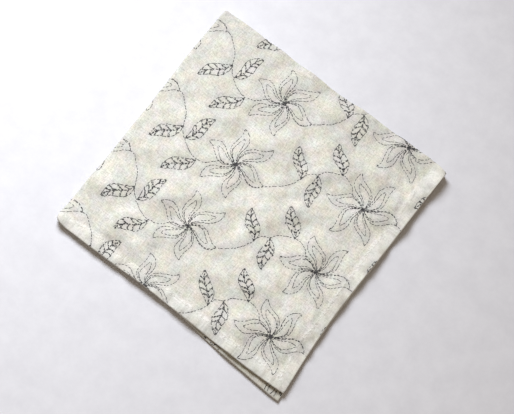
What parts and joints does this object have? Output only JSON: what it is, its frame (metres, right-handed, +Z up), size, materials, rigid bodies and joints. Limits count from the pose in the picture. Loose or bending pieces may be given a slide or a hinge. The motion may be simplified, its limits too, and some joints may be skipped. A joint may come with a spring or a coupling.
{
  "type": "embroidered handkerchief folded in quarters",
  "caption": "Square cotton handkerchief with turned hems and line embroidery, folded in quarters and lying flat with its under layers slipped out past the front hem.",
  "frame": {"origin": "centre of the bounding box, on the surface that the folded cloth lies on", "axes": "+Z up through the layers; +X from the second fold to the side hems; +Y from the front hems to the first fold"},
  "size_m": [0.202, 0.207, 0.0071],
  "materials": {
    "cotton": "matt plain-weave cotton, cream white, with black line embroidery and cream hem stitching"
  },
  "bodies": {
    "root": {"handkerchief": "cotton"}
  },
  "joints": []
}
